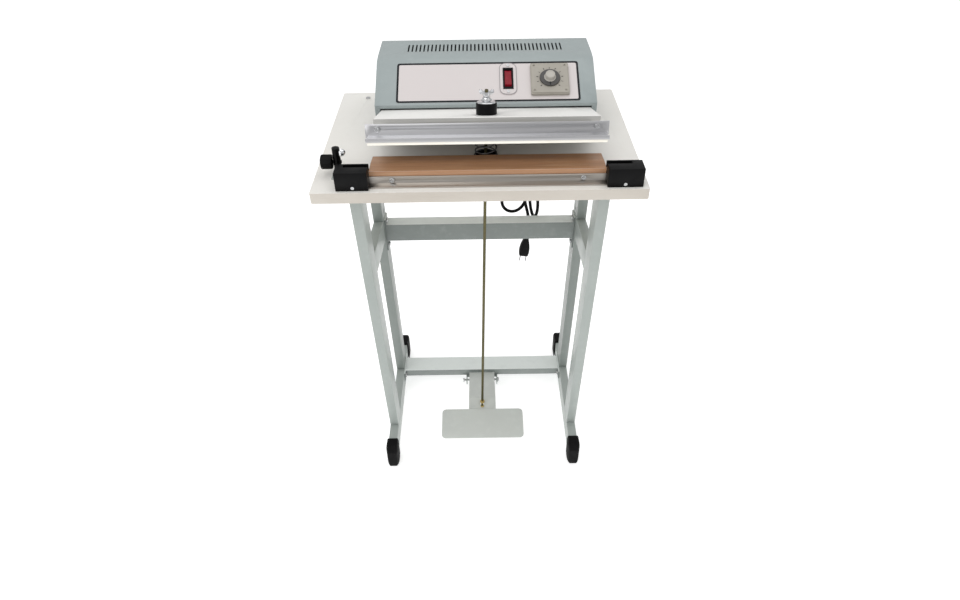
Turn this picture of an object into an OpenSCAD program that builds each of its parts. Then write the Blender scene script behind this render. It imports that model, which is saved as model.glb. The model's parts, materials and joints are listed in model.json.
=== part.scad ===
/* [Table] */
// Width of the table board
table_w = 570; // [560:1:580]
// Thickness of the table board
table_t = 20; // [18:1:20]
// Height of the table's top face above the floor
table_h = 800; // [800:1:800]

/* [Jaws] */
// Sealing length of the jaws
jaw_len = 400; // [390:1:400]
// Sideways place of the sealing head on the table
head_x = 14; // [12:1:16]
// Angle through which the arm closes
open_deg = 11.5; // [11:0.5:11.5]

/* [Housing] */
// Width of the control housing
house_w = 404; // [400:1:406]
// Number of cooling slots in the housing's top
vent_n = 40; // [20:2:40]

/* [Stand] */
// Half the distance between the side frames' inner faces
side_x = 209; // [209:1:209]
// Wall of the stand's steel tubes
tube_wall = 1.5; // [1.2:0.1:2]

/* [Cord] */
// Diameter of the mains cord
cord_d = 7; // [6.4:0.1:7.2]

/* [Hidden] */
$fn = 48;
e = 0.01;
tz = table_h;                 // table's top face
tb = table_h - table_t;       // table's underside
hx = head_x;
steel = [0.70, 0.73, 0.71];
grey = [0.62, 0.66, 0.66];
alu = [0.78, 0.79, 0.80];
black = [0.10, 0.10, 0.11];

// outline in the Y-Z plane, extruded along X from x0 by w
module yz(x0, w, pts) { translate([x0, 0, 0]) rotate([90, 0, 90]) linear_extrude(w) polygon(pts); }
module box(a, b) { translate(a) cube(b - a); }
module xcyl(x0, x1, y, z, r) { translate([x0, y, z]) rotate([0, 90, 0]) cylinder(h = x1 - x0, r = r); }
module zcyl(x, y, z0, z1, r) { translate([x, y, z0]) cylinder(h = z1 - z0, r = r); }
module ycyl(x, y0, y1, z, r) { translate([x, y0, z]) rotate([-90, 0, 0]) cylinder(h = y1 - y0, r = r); }
module rrect(w, h, r) {
  square([w - 2 * r, h], center = true);
  square([w, h - 2 * r], center = true);
  for (x = [-1, 1]) for (y = [-1, 1]) translate([x * (w / 2 - r), y * (h / 2 - r)]) circle(r);
}
module both() { children(); mirror([1, 0, 0]) children(); }

// lines of the legs' front faces
function fl(z) = -193.5 + (738 - z) * 0.1375;
function rl(z) = 17.5 + (608 - z) * 0.143;
leg_d = 50.5;
zr = tb - 4;                  // underside of the top rails
zb = 58;                      // top of the base tubes

// ---------------- table
module table_top() color([0.92, 0.91, 0.89]) difference() {
  translate([0, -30, tb]) linear_extrude(table_t) rrect(table_w, 420, 4);
  // clearance slot for the pull rod
  rod_slot(tb - 1, tz + 1, 12);
  // cord outlet
  zcyl(60, 100, tb - 1, tz + 1, 9);
  for (x = [-230, 230]) zcyl(x, 150, tb - 1, tz + 1, 2.6);
}
module table_screws() color("silver") for (x = [-230, 230]) {
  zcyl(x, 150, zr - 4, tz, 2.5);
  difference() {
    zcyl(x, 150, tz, tz + 2.4, 4.6);
    box([x - 3, 149.5, tz + 1.2], [x + 3, 150.5, tz + 3]);
    box([x - 0.5, 147, tz + 1.2], [x + 0.5, 153, tz + 3]);
  }
  translate([x, 150, zr - 4]) difference() {
    cylinder(h = 4, r = 4.6, $fn = 6);
    translate([0, 0, -1]) cylinder(h = 6, r = 2.5);
  }
}
module rod_slot(z0, z1, r) {
  for (y = [-121, -110]) zcyl(hx - 1.5, y, z0, z1, r);
  box([hx - 1.5 - r, -121, z0], [hx - 1.5 + r, -110, z1]);
}
module rod_grommet() color(black) difference() {
  union() {
    rod_slot(tb, tz, 12);
    zcyl(hx - 1.5, -116, tz, tz + 2, 22);
  }
  rod_slot(tb - 1, tz + 3, 9.5);
}

// ---------------- stand
module top_rails() color(steel) both() difference() {
  box([205, -215, zr], [250, 170, tb]);
  zcyl(230, 150, zr - 1, tb + 1, 2.5);
}
module leg(pts, ins) difference() {
  yz(side_x, 20, pts);
  yz(side_x + tube_wall, 20 - 2 * tube_wall, ins);
}
module front_legs() color(steel) both() leg(
  [[fl(zb), zb], [fl(zb) + leg_d, zb], [fl(zr) + leg_d, zr], [fl(zr), zr]],
  [[fl(zb) + tube_wall, zb - 1], [fl(zb) + leg_d - tube_wall, zb - 1],
   [fl(zr) + leg_d - tube_wall, zr + 1], [fl(zr) + tube_wall, zr + 1]]);
module rear_legs() color(steel) both() difference() {
  leg([[rl(zb), zb], [rl(zb) + leg_d, zb], [rl(zr) + leg_d, zr], [rl(zr), zr]],
  [[rl(zb) + tube_wall, zb - 1], [rl(zb) + leg_d - tube_wall, zb - 1],
   [rl(zr) + leg_d - tube_wall, zr + 1], [rl(zr) + tube_wall, zr + 1]]);
  xcyl(side_x - 1, side_x + 5, rl(590) + 24, 590, 4);
  for (z = [498, 561]) xcyl(side_x - 1, side_x + 5, rl(527) + 25, z, 3);
}
module frame_braces() color(steel) both() difference() {
  yz(side_x, 20, [[fl(545) + leg_d + e, 545], [rl(525) - e, 525], [rl(575) - e, 575], [fl(595) + leg_d + e, 595]]);
  yz(side_x + tube_wall, 20 - 2 * tube_wall,
    [[fl(545) + leg_d - 1, 547], [rl(525) + 1, 526.8], [rl(575) + 1, 573], [fl(595) + leg_d - 1, 593]]);
}
module base_tubes() color(steel) both() difference() {
  box([side_x, -160, 8], [side_x + 20, 205, zb]);
  box([side_x + tube_wall, -161, 8 + tube_wall], [side_x + 20 - tube_wall, 206, zb - tube_wall]);
  for (y = [89, 153]) xcyl(side_x - 1, side_x + 5, y, 43, 3);
}
uy = rl(527) + 25;            // upper crossbar's centre line
module end_plate_u() difference() {
  box([side_x - 3, uy - 12.5, 487], [side_x, uy + 20, 567]);
  for (z = [498, 561]) xcyl(side_x - 4, side_x + 1, uy, z, 3);
}
module upper_crossbar() color(steel) {
  difference() {
    box([-side_x + 3, uy - 10, 511.5], [side_x - 3, uy + 20, 553.5]);
    box([-side_x + 2, uy - 10 + tube_wall, 511.5 + tube_wall], [side_x - 2, uy + 20 - tube_wall, 553.5 - tube_wall]);
  }
  both() end_plate_u();
}
module end_plate_l() difference() {
  box([side_x - 3, 81, 30.5], [side_x, 161, 55.5]);
  for (y = [89, 153]) xcyl(side_x - 4, side_x + 1, y, 43, 3);
}
module lower_crossbar() color(steel) {
  difference() {
    box([-side_x + 3, 96, 33], [side_x - 3, 146, 53]);
    box([-side_x + 2, 96 + tube_wall, 33 + tube_wall], [side_x - 2, 146 - tube_wall, 53 - tube_wall]);
  }
  both() end_plate_l();
}
module bolt(y, z) {
  xcyl(side_x - 3, side_x + 1.4, y, z, 3);
  translate([side_x - 7, y, z]) rotate([0, 90, 0]) cylinder(h = 4, r = 5.6, $fn = 6);
}
module crossbar_bolts() color("silver") both() {
  for (z = [498, 561]) bolt(uy, z);
  for (y = [89, 153]) bolt(y, 43);
}
module cap(y0, y1, r) difference() {
  intersection() {
    box([side_x - 4.5, y0, 0], [side_x + 24.5, y1, 66]);
    hull() for (y = [y0 + r, y1 - r]) for (z = [r, 66 - r]) xcyl(side_x - 5, side_x + 25, y, z, r);
  }
  children();
}
module front_foot_caps() color(black) both()
  cap(-184, -148, 8) box([side_x, -160, 8], [side_x + 20, -100, zb]);
module rear_foot_caps() color(black) both()
  cap(192, 240, 8) box([side_x, 150, 8], [side_x + 20, 205, zb]);

// ---------------- pedal
hy = 85; hz = 25;             // pedal hinge axis
module pedal_bracket() color(steel) difference() {
  union() {
    box([-42, 90, 30], [42, 142, 33]);
    both() yz(39, 3, [[92, 33], [96, 33], [96, 30], [100, 30], [92, 14], [78, 14], [75, 20], [75, 30], [82, 37], [92, 37]]);
  }
  xcyl(-50, 50, hy, hz, 3);
}
module pedal_hinge_pin() color("silver") {
  xcyl(-47, 45, hy, hz, 3);
  translate([-51, hy, hz]) rotate([0, 90, 0]) cylinder(h = 4, r = 6, $fn = 6);
  difference() { xcyl(42.2, 46, hy, hz, 6); xcyl(42, 47, hy, hz, 3); }
}
module foot_pedal() color([0.74, 0.77, 0.74]) difference() {
  union() {
    xcyl(-33.5, 33.5, hy, hz, 6);
    yz(-33.5, 67, [[92, 43], [-40, 85], [-71, 76.9], [-71, 79.9], [-40, 88.2], [92, 46]]);
    for (x = [-33.5, 30.5]) yz(x, 3, [[87, 44], [87, 20], [82, 17.5], [74, 20], [56, 55]]);
    // tread plate with rounded corners
    translate([0, -71, 78.4]) rotate([14.66, 0, 0]) translate([0, -38.5, -1.5])
      linear_extrude(3) rrect(200, 78, 10);
  }
  xcyl(-60, 60, hy, hz, 3.06);
  for (y = [-63, -51]) zcyl(0, y, 60, 100, 4.2);
  box([-4.2, -63, 60], [4.2, -51, 100]);
}

// ---------------- arm: drawn in its closed pose, then opened
py = 12; pz = 838;            // arm pivot axis
module opened() translate([0, py, pz]) rotate([-open_deg, 0, 0]) translate([0, -py, -pz]) children();
by = -129;                  // bush centre in the closed pose
bt = 875;                     // bush's top in the closed pose
aw = 190;                     // half width of the arm plate
wy = -181.6;                  // front face of the jaw angle's web
// height of the arm plate's top face, which falls towards the pivot
function pt(y) = 859 - 0.0918 * (y + 170);
module arm_plate() color([0.93, 0.93, 0.92]) opened() difference() {
  union() {
    yz(hx - aw, 2 * aw, [[-170, 857], [-24, pt(-24) - 2], [-24, pt(-24)], [-170, 859]]);
    yz(hx - 138, 276, [[-26, pt(-26) - 2], [12, pt(12) - 2], [12, pt(12)], [-26, pt(-26)]]);
    // folded front lip and its two end tabs
    box([hx - aw, -170, 838], [hx + aw, -168, 858]);
    for (s = [-1, 1]) box([hx + s * 183 - 9, wy + 3, 839], [hx + s * 183 + 9, -169, 851]);
    // folded side skirts
    for (s = [-1, 1]) yz(hx + s * (aw - 1) - 1, 2, [[-170, 842], [-30, pt(-30) - 13], [-30, pt(-30) - 1], [-170, 858]]);
    xcyl(hx - 138, hx + 138, py, pz, 7);
  }
  xcyl(hx - 200, hx + 200, py, pz, 4.05);
  for (y = [by, by + 5]) translate([hx, y, 840]) cylinder(h = 30, r = 8);
  box([hx - 8, by, 840], [hx + 8, by + 5, 870]);
  for (s = [-1, 1]) ycyl(hx + s * 183, -190, -160, 845, 2.5);
}
module upper_jaw_angle() color(alu) opened() difference() {
  union() {
    box([hx - jaw_len / 2 - 3, wy, 831], [hx + jaw_len / 2 + 3, wy + 3, 853.3]);
    box([hx - jaw_len / 2 + 1, -213.6, 831], [hx + jaw_len / 2 - 1, wy + 3, 834.5]);
    box([hx - jaw_len / 2 + 1, -213.6, 831], [hx + jaw_len / 2 - 1, -210.6, 837.3]);
  }
  for (s = [-1, 1]) ycyl(hx + s * 183, -190, -170, 845, 2.5);
}
module silicone_strip() color([0.96, 0.93, 0.84]) opened()
  box([hx - jaw_len / 2 + 3, -212, 825.5], [hx + jaw_len / 2 - 3, -190, 831]);
module upper_jaw_screws() color("silver") opened() for (s = [-1, 1]) {
  ycyl(hx + s * 183, wy, -170.5, 845, 2.5);
  difference() {
    ycyl(hx + s * 183, wy - 2.4, wy, 845, 4.8);
    box([hx + s * 183 - 3.2, wy - 3, 844.5], [hx + s * 183 + 3.2, wy - 1.2, 845.5]);
    box([hx + s * 183 - 0.5, wy - 3, 841.8], [hx + s * 183 + 0.5, wy - 1.2, 848.2]);
  }
}
module arm_bush() color(black) opened() difference() {
  zcyl(hx, by, 850, bt, 18);
  yz(hx - 30, 60, [[-170, 859], [-90, pt(-90)], [-90, 840], [-170, 840]]);
  for (y = [by, by + 5]) zcyl(hx, y, 840, bt + 1, 8);
  box([hx - 8, by, 840], [hx + 8, by + 5, bt + 1]);
}
module bush_ring() color([0.85, 0.85, 0.83]) opened() difference() {
  zcyl(hx, by, bt, bt + 2.5, 16.5);
  zcyl(hx, by, bt - 1, bt + 3, 7);
}

// ---------------- pull rod: its axis runs from the lower ball to the ball seat on the bush
seat_z = bt + 5.3;
ry = py + (by - py) * cos(open_deg) + (seat_z - pz) * sin(open_deg);
rz = pz - (by - py) * sin(open_deg) + (seat_z - pz) * cos(open_deg);
rv = [hx, ry + 57, rz - 84];
rl_len = norm(rv);
ra = asin(-rv[1] / rl_len);
rb = atan2(rv[0], rv[2]);
// place children on the rod's axis, d above the upper ball's centre
module on_rod(d = 0) translate([hx, ry, rz]) rotate([ra, rb, 0]) translate([0, 0, d]) children();
module pull_rod() color([0.42, 0.40, 0.27]) on_rod(-rl_len - 20) cylinder(h = rl_len + 38, r = 3);
module ball(d, r) on_rod(d) difference() {
  intersection() { sphere(r = r); translate([0, 0, -r]) cylinder(h = 2 * r - 0.4, r = r + 1); }
  translate([0, 0, -20]) cylinder(h = 40, r = 3);
}
module rod_nuts() color([0.72, 0.60, 0.30]) {
  difference() {
    union() {
      ball(0, 7.5);
      xcyl(hx - 9.5, hx - 4, ry, rz, 1.5);
      xcyl(hx + 4, hx + 9.5, ry, rz, 1.5);
    }
    on_rod(-20) cylinder(h = 40, r = 3);
  }
  ball(-rl_len - 12.6, 6.5);
  on_rod(-rl_len + 6.5) difference() {
    union() { cylinder(h = 5, r = 5.6, $fn = 6); translate([0, 0, 5]) cylinder(h = 2, r = 4.4); }
    translate([0, 0, -1]) cylinder(h = 10, r = 3);
  }
}
module wing_nut() color([0.85, 0.86, 0.87]) on_rod(7.6) difference() {
  union() {
    cylinder(h = 7.5, r = 5.8);
    cylinder(h = 2, r = 6.5);
    for (s = [-1, 1]) translate([s * 8.5, 1.1, 6.5]) rotate([90, 0, 0]) cylinder(h = 2.2, r = 4.6);
    translate([-8, -1.1, 2]) cube([16, 2.2, 5]);
  }
  translate([0, 0, -1]) cylinder(h = 20, r = 3.06);
}

// ---------------- swept tube through a list of points
function unit(v) = v / norm(v);
function spline(p, n) = [for (i = [0:len(p) - 2]) for (k = [0:n - 1])
  let (a = p[max(i - 1, 0)], b = p[i], c = p[i + 1], d = p[min(i + 2, len(p) - 1)], t = k / n)
  0.5 * (2 * b + (c - a) * t + (2 * a - 5 * b + 4 * c - d) * t * t + (3 * b - a - 3 * c + d) * t * t * t),
  p[len(p) - 1]];
function tang(p, i) = unit(p[min(i + 1, len(p) - 1)] - p[max(i - 1, 0)]);
function turned(u, t) = unit(u - (u * t) * t);
function frames(p, i, u) = i >= len(p) ? [] : let (v = turned(u, tang(p, i))) concat([v], frames(p, i + 1, v));
module tube(p, r, n, u0) {
  f = frames(p, 0, u0);
  pts = [for (i = [0:len(p) - 1]) for (k = [0:n - 1])
    let (w = cross(tang(p, i), f[i]), a = 360 * k / n) p[i] + r * (cos(a) * f[i] + sin(a) * w)];
  m = len(p);
  polyhedron(points = pts, faces = concat(
    [[for (k = [0:n - 1]) n - 1 - k]],
    [[for (k = [0:n - 1]) (m - 1) * n + k]],
    [for (i = [0:m - 2]) for (k = [0:n - 1]) for (h = [0, 1])
      h == 0 ? [i * n + k, i * n + (k + 1) % n, (i + 1) * n + (k + 1) % n]
             : [i * n + k, (i + 1) * n + (k + 1) % n, (i + 1) * n + k]]));
}
spring_n = 7; spring_h = 68.6;
module return_spring() color([0.55, 0.56, 0.58]) translate([hx - 1.5, -116, tz + 2]) {
  pp = [for (i = [0:16 * spring_n]) let (a = 22.5 * i, t = i / (16 * spring_n),
    z = t < 1 / spring_n ? 1.4 + 2.8 * t * spring_n
      : t > 1 - 1 / spring_n ? spring_h - 2.8 * (1 - t) * spring_n
      : 4.2 + (spring_h - 2.8 - 4.2) * (t - 1 / spring_n) / (1 - 2 / spring_n)) [19 * cos(a), 19 * sin(a), z]];
  tube(pp, 1.3, 8, [0, 0, 1]);
}

// ---------------- arm pivot
module pivot_brackets() color([0.6, 0.62, 0.63]) for (s = [-1, 1]) translate([hx, 0, 0]) mirror([s < 0 ? 1 : 0, 0, 0]) difference() {
  union() {
    box([142, 0, 801.5], [146, 24, 838]);
    box([142, 2, 836], [146, 22, 838]);
    xcyl(142, 146, py, pz, 10);
    box([142, -6, 801.5], [172, 30, 805.5]);
  }
  xcyl(130, 160, py, pz, 4);
  for (y = [3, 21]) zcyl(162, y, 800, 810, 2.6);
}
module pivot_shaft() color("silver") xcyl(hx - 150, hx + 150, py, pz, 4);

// ---------------- lower jaw
jl = jaw_len / 2;
module lower_jaw_bar() color([0.75, 0.76, 0.77]) difference() {
  yz(hx - jl, jaw_len, [[-210, 800], [-210, 823.4], [-182, 823.4], [-148, 819.4], [-148, 800]]);
  box([hx - jl - 1, -208, 822.6], [hx + jl + 1, -204, 830]);
  for (s = [-1, 1]) ycyl(hx + s * 162, -215, -198, 808, 2.4);
}
module ptfe_cloth() color([0.60, 0.46, 0.34]) difference() {
  yz(hx - jl, jaw_len, [[-210.6, 802], [-210.6, 824], [-182, 824], [-148, 820], [-148, 819.4], [-182, 823.4], [-210, 823.4], [-210, 802]]);
  for (s = [-1, 1]) ycyl(hx + s * 162, -215, -198, 808, 2.4);
}
module heating_wire() color([0.7, 0.66, 0.6]) box([hx - jl - 14, -207.5, 822.6], [hx + jl + 14, -204.5, 823]);
module clamp_angle() color(alu) difference() {
  union() {
    box([hx - jl, -212.6, 800], [hx + jl, -210.6, 815]);
    box([hx - jl, -227, 800], [hx + jl, -211, 802.5]);
  }
  for (s = [-1, 1]) ycyl(hx + s * 162, -215, -198, 808, 2.4);
}
module pan_screw_y(x, z, y, l, rh) difference() {
  union() { ycyl(x, y, y + l, z, 2.4); ycyl(x, y - 2.2, y, z, rh); }
  box([x - rh * 0.65, y - 3, z - 0.5], [x + rh * 0.65, y - 1, z + 0.5]);
  box([x - 0.5, y - 3, z - rh * 0.65], [x + 0.5, y - 1, z + rh * 0.65]);
}
module jaw_screws() color("silver") for (s = [-1, 1]) pan_screw_y(hx + s * 162, 808, -212.6, 14.6, 4.6);
module end_block(s) color(black) translate([hx, 0, 0]) mirror([s < 0 ? 1 : 0, 0, 0]) difference() {
  box([jl, -234, 800], [jl + (s < 0 ? 55 : 60), -201, 833.5]);
  box([jl - 1, -213, 814], [jl + 42, -204, 837]);
  ycyl(jl + (s < 0 ? 26 : 29.5), -235, -226, 806, 2);
}
module left_end_block() end_block(-1);
module right_end_block() end_block(1);
module wire_tensioners() color([0.72, 0.55, 0.35]) for (s = [-1, 1]) translate([hx, 0, 0]) mirror([s < 0 ? 1 : 0, 0, 0]) {
  box([jl + 6, -212, 814], [jl + 30, -204.5, 822.6]);
  zcyl(jl + 24, -208.2, 822.6, 826, 3.2);
}
module end_block_screws() color("silver") for (s = [-1, 1]) translate([hx + s * (jl + (s < 0 ? 26 : 29.5)), 0, 0]) difference() {
  union() { ycyl(0, -234, -226, 806, 2); ycyl(0, -235.2, -234, 806, 2.9); }
  box([-2, -236, 805.6], [2, -234.7, 806.4]);
}

// ---------------- clamp at the left end of the jaw
cy = -174;
module side_bracket() color([0.66, 0.69, 0.68]) difference() {
  box([-254, -194, 800], [-216, -156, 802]);
  zcyl(-224, -163, 799, 803, 2.2);
}
module bracket_post() color(black) difference() {
  zcyl(-243.5, cy, 802, 850, 6.5);
  xcyl(-260, -230, cy, 824, 3);
  xcyl(-250, -230, cy, 841, 2.5);
}
module bracket_nut() color([0.88, 0.88, 0.88]) {
  xcyl(-248, -237, cy, 841, 2.5);
  translate([-237, cy, 841]) rotate([0, 90, 0]) cylinder(h = 4, r = 7.2, $fn = 6);
  intersection() { translate([-233, cy, 841]) sphere(r = 5.8); box([-233, cy - 7, 834], [-226, cy + 7, 848]); }
}
module clamp_knob() color(black) {
  difference() {
    xcyl(-272, -251, cy, 824, 12.5);
    for (i = [0:17]) translate([-273, cy, 824]) rotate([i * 20, 0, 0]) translate([0, 12.8, 0]) rotate([0, 90, 0]) cylinder(h = 20, r = 1.1);
  }
  xcyl(-251, -236, cy, 824, 2.94);
}

// ---------------- control housing
hw = house_w / 2;
pa = atan2(45, 81);           // slope of the front panel
sheet = 1.2;
function arc(c, r, a0, a1, n) = [for (i = [0:n]) let (a = a0 + (a1 - a0) * i / n) c + r * [cos(a), sin(a)]];
function shell(t) = concat([[-50 + t, 800 - t], [-50 + t, 870 - 0.3 * t], [38.5 + 0.3 * t, 919.16 - t], [64, 921.5 - t]],
  arc([139, 897.5], 24 - t, 90, 0, 10), [[163 - t, 800 - t]]);
module on_panel(x = 0, y = 0, z = 0) translate([x, -50, 870]) rotate([pa, 0, 0]) translate([0, y, z]) children();
lx = hx + 4.5; sx = hx + 41.7; tx = hx + 118;   // label, switch and timer across the panel
ly = 49.4; sy = 55; ty = 51;                     // and up it
// solid outline of the housing, drawn in by t, with its rear corners rounded in plan
module house(t) intersection() {
  yz(hx - hw + t, house_w - 2 * t, shell(t));
  translate([0, 0, 780]) linear_extrude(160) {
    translate([hx - hw + t, -60]) square([house_w - 2 * t, 60 + 163 - rc]);
    translate([hx - hw + rc, -60]) square([house_w - 2 * rc, 60 + 163 - t]);
    for (s = [-1, 1]) translate([hx + s * (hw - rc), 163 - rc]) circle(rc - t);
  }
}
rc = 24;                      // radius of the housing's rear corners in plan
module housing_cover() color(grey) difference() {
  house(0);
  house(sheet);
  box([hx - hw - 1, -60, 790], [hx + hw + 1, 160, 800]);
  box([hx - aw - 2.5, -60, 799], [hx + aw + 2.5, -45, 864]);
  // cooling slots
  for (i = [0:vent_n - 1]) translate([hx + (i - (vent_n - 1) / 2) * 7.5, 98, 910])
    linear_extrude(20) { square([3, 36], center = true); for (k = [-1, 1]) translate([0, 18 * k]) circle(1.5); }
  // openings for the switch and the timer
  on_panel(sx, sy, -5) translate([-8.8, -22.8, 0]) cube([17.6, 45.6, 10]);
  on_panel(tx, ty, -5) translate([-26, -15, 0]) cube([52, 46, 10]);
  for (s = [-1, 1]) for (y = [20, 120]) xcyl(hx + s * hw - 3, hx + s * hw + 3, y, 808, 2);
}
module housing_base() color([0.7, 0.72, 0.72]) difference() {
  union() {
    box([hx - hw + sheet, -46, 800], [hx + hw - sheet, 137, 801.5]);
    box([hx - hw + rc, -46, 800], [hx + hw - rc, 161, 801.5]);
    for (s = [-1, 1]) box([hx + s * (hw - 1.9) - 0.7, -20, 801], [hx + s * (hw - 1.9) + 0.7, 138, 814]);
  }
  zcyl(60, 100, 799, 803, 9);
  for (s = [-1, 1]) for (y = [20, 120]) xcyl(hx + s * hw - 6, hx + s * hw + 6, y, 808, 2);
}
module housing_screws() color("silver") for (s = [-1, 1]) for (y = [20, 120])
  translate([hx + s * hw, y, 808]) mirror([s < 0 ? 1 : 0, 0, 0]) {
    xcyl(-4, 0, 0, 0, 2);
    difference() { xcyl(0, 2.2, 0, 0, 4); box([1.4, -2.6, -0.4], [3, 2.6, 0.4]); box([1.4, -0.4, -2.6], [3, 0.4, 2.6]); }
  }
module label_panel() color([0.89, 0.86, 0.86]) difference() {
  on_panel(lx, ly) linear_extrude(0.6) rrect(336, 89.2, 5);
  on_panel(sx, sy, -5) translate([-8.8, -22.8, 0]) cube([17.6, 45.6, 10]);
  on_panel(tx, ty, -5) translate([-26, -15, 0]) cube([52, 46, 10]);
}
module switch_plate() color([0.87, 0.84, 0.84]) on_panel(sx, sy, 0.6) difference() {
  linear_extrude(1.6) rrect(32, 71, 12);
  translate([-8.7, -22.7, -1]) cube([17.4, 45.4, 5]);
  for (y = [-29.5, 29.5]) translate([0, y, -1]) cylinder(h = 5, r = 1.6);
}
module panel_screws() color("silver") for (y = [-29.5, 29.5]) on_panel(sx, sy + y, 0.6) difference() {
  union() { cylinder(h = 1.6, r = 1.6); translate([0, 0, 1.6]) cylinder(h = 1.2, r = 2.8); }
  translate([-1.8, -0.3, 2.2]) cube([3.6, 0.6, 2]);
  translate([-0.3, -1.8, 2.2]) cube([0.6, 3.6, 2]);
}
module switch_body() color(black) on_panel(sx, sy) difference() {
  union() {
    translate([-8.6, -22.6, -18]) cube([17.2, 45.2, 20.2]);
    translate([-9.5, -23.6, 2.2]) cube([19, 47.2, 1.4]);
  }
  translate([-6.5, -19.5, -11]) cube([13, 39, 20]);
  translate([-7.9, 0, -1]) rotate([0, 90, 0]) cylinder(h = 15.8, r = 1.56);
}
module switch_rocker() color([0.55, 0.08, 0.10]) on_panel(sx, sy) translate([0, 0, -1]) rotate([-8, 0, 0]) {
  yz(-6.1, 12.2, [[-17.5, -4], [-17.5, 5], [-9, 4.4], [0, 3.2], [9, 4.4], [17.5, 5], [17.5, -4]]);
  xcyl(-7.7, 7.7, 0, 0, 1.5);
}
module timer_module() color([0.67, 0.65, 0.61]) on_panel(tx, ty) difference() {
  union() {
    translate([0, 0, 0.6]) linear_extrude(5.5) rrect(70, 69, 3);
    translate([0, 0, 6.1]) linear_extrude(1.5) rrect(66.5, 65.5, 3);
    translate([-25, -14, -28]) cube([50, 44, 29]);
  }
  translate([0, -1, -6]) cylinder(h = 20, r = 3.06);
  for (x = [-28.5, 28.5]) for (y = [-28, 28]) translate([x, y, 6]) cylinder(h = 3, r = 2.2);
}
module timer_dial() color([0.60, 0.59, 0.56]) on_panel(tx, ty - 1) {
  translate([0, 0, -5.5]) cylinder(h = 14, r = 3);
  difference() {
    union() {
      translate([0, 0, 8]) cylinder(h = 2.4, r = 19);
      translate([0, 0, 10.4]) cylinder(h = 9.6, r = 9);
      translate([-2, -17, 10.4]) cube([4, 17, 3.2]);
    }
    for (i = [0:23]) rotate(15 * i) translate([19.3, 0, 7]) cylinder(h = 5, r = 0.9);
  }
}
module transformer_core() color([0.35, 0.35, 0.37]) difference() {
  union() {
    box([95, 80, 801.5], [165, 120, 861.5]);
    for (x = [87, 165]) box([x, 88, 801.5], [x + 8, 112, 804]);
  }
  for (x = [107, 141]) box([x, 79, 813.5], [x + 12, 121, 849.5]);
  for (x = [91, 169]) zcyl(x, 100, 800, 806, 2.2);
}
module transformer_coil() color([0.72, 0.45, 0.25]) difference() {
  box([108, 70, 814.5], [152, 130, 848.5]);
  box([119, 80, 813], [141, 120, 850]);
}
module microswitch() color(black) translate([hx - 100, 34, 801.5]) {
  cube([28, 10, 16]);
  translate([8, 3, 16]) cube([4, 4, 1.5]);
}
module terminal_block() color([0.88, 0.87, 0.82]) translate([-120, 108, 801.5]) difference() {
  union() { cube([60, 18, 9]); for (i = [0:4]) translate([2 + 12 * i, 2, 8]) cube([8, 14, 6]); }
  for (i = [0:4]) for (y = [5.5, 12.5]) translate([6 + 12 * i, y, 6]) cylinder(h = 10, r = 1.8);
}

// ---------------- mains cord, hanging as a tied hank from its outlet under the table
route = [[60, 100, 752], [60, 100, 740], [61.5, 99.7, 727], [66.5, 99, 714], [74, 98.2, 702], [80, 97.7, 691],
  [81.5, 97.5, 678], [79, 97.5, 660], [71, 98, 633], [60, 98, 608], [52.5, 98, 590], [50.5, 98, 575],
  [54, 98, 562.5], [62.5, 98, 553.5], [74, 98, 550.5], [86, 98, 554], [96, 98, 564], [103, 98, 579], [105, 98, 598],
  [102, 98, 624], [96.5, 97.5, 651], [92, 95.5, 674], [91, 93.5, 689], [91.7, 87.7, 704], [92.5, 80.7, 718],
  [93.5, 77.7, 733], [94.5, 82.6, 747.3], [95.2, 92.2, 754.4], [96, 104, 755.4], [96.7, 114.7, 750.4],
  [97.2, 121.2, 740.7], [97.5, 122.3, 729], [97.5, 118.3, 716.5], [97.5, 111.3, 704], [97.5, 106.5, 689],
  [99, 109, 667], [103.5, 115, 640], [109.5, 122, 611], [113.5, 127, 584], [115.3, 128, 563], [117, 124, 547],
  [119.5, 114, 537.5], [122.5, 101.8, 535.8], [126, 90.5, 542.5], [128.5, 84.2, 556], [129.7, 83.2, 572],
  [128.7, 84.7, 590], [124, 88.2, 615], [115, 92.5, 643], [106, 96, 668], [101.5, 97.5, 688], [105, 98, 703],
  [112, 98.5, 717], [117.3, 99, 730.5], [118.5, 99.5, 745], [114.3, 100.3, 759], [104, 101.8, 767.5],
  [91.5, 103.2, 768.8], [79.7, 104.2, 762.4], [73, 105, 751], [72.8, 105.4, 737.5], [77.5, 105.6, 724],
  [83.5, 105.6, 712], [87.3, 105.6, 700], [88.5, 105.8, 687], [89.5, 107.5, 664], [92, 110.5, 636], [96, 112.5, 607],
  [100.5, 112.5, 580], [105.3, 112.5, 557], [110, 112, 537], [112.8, 110.2, 519], [112.5, 107, 502],
  [110.8, 104.5, 492], [109.8, 104, 485], [109.1, 104, 479]];
module cord_tube() color(black) tube(cord_pts, cord_d / 2, 8, [1, 0, 0]);
cord_pts = concat([for (i = [0:len(route) - 2]) each
   (norm(route[i + 1] - route[i]) > 24 ? [for (p = [0:1]) mid(i, p / 2)] : [route[i]])], [route[len(route) - 1]]);
function mid(i, t) = let (p = route, a = p[max(i - 1, 0)], b = p[i], c = p[i + 1], d = p[min(i + 2, len(p) - 1)])
  0.5 * (2 * b + (c - a) * t + (2 * a - 5 * b + 4 * c - d) * t * t + (3 * b - a - 3 * c + d) * t * t * t);
module strain_relief() color(black) {
  zcyl(60, 100, tb - 2, 803, 9);
  zcyl(60, 100, tb - 4, tb, 12);
  translate([60, 100, 752]) rotate_extrude() polygon([[0, 0], [4.2, 0], [5.4, 14], [7.5, 24], [0, 24]]);
}
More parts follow.
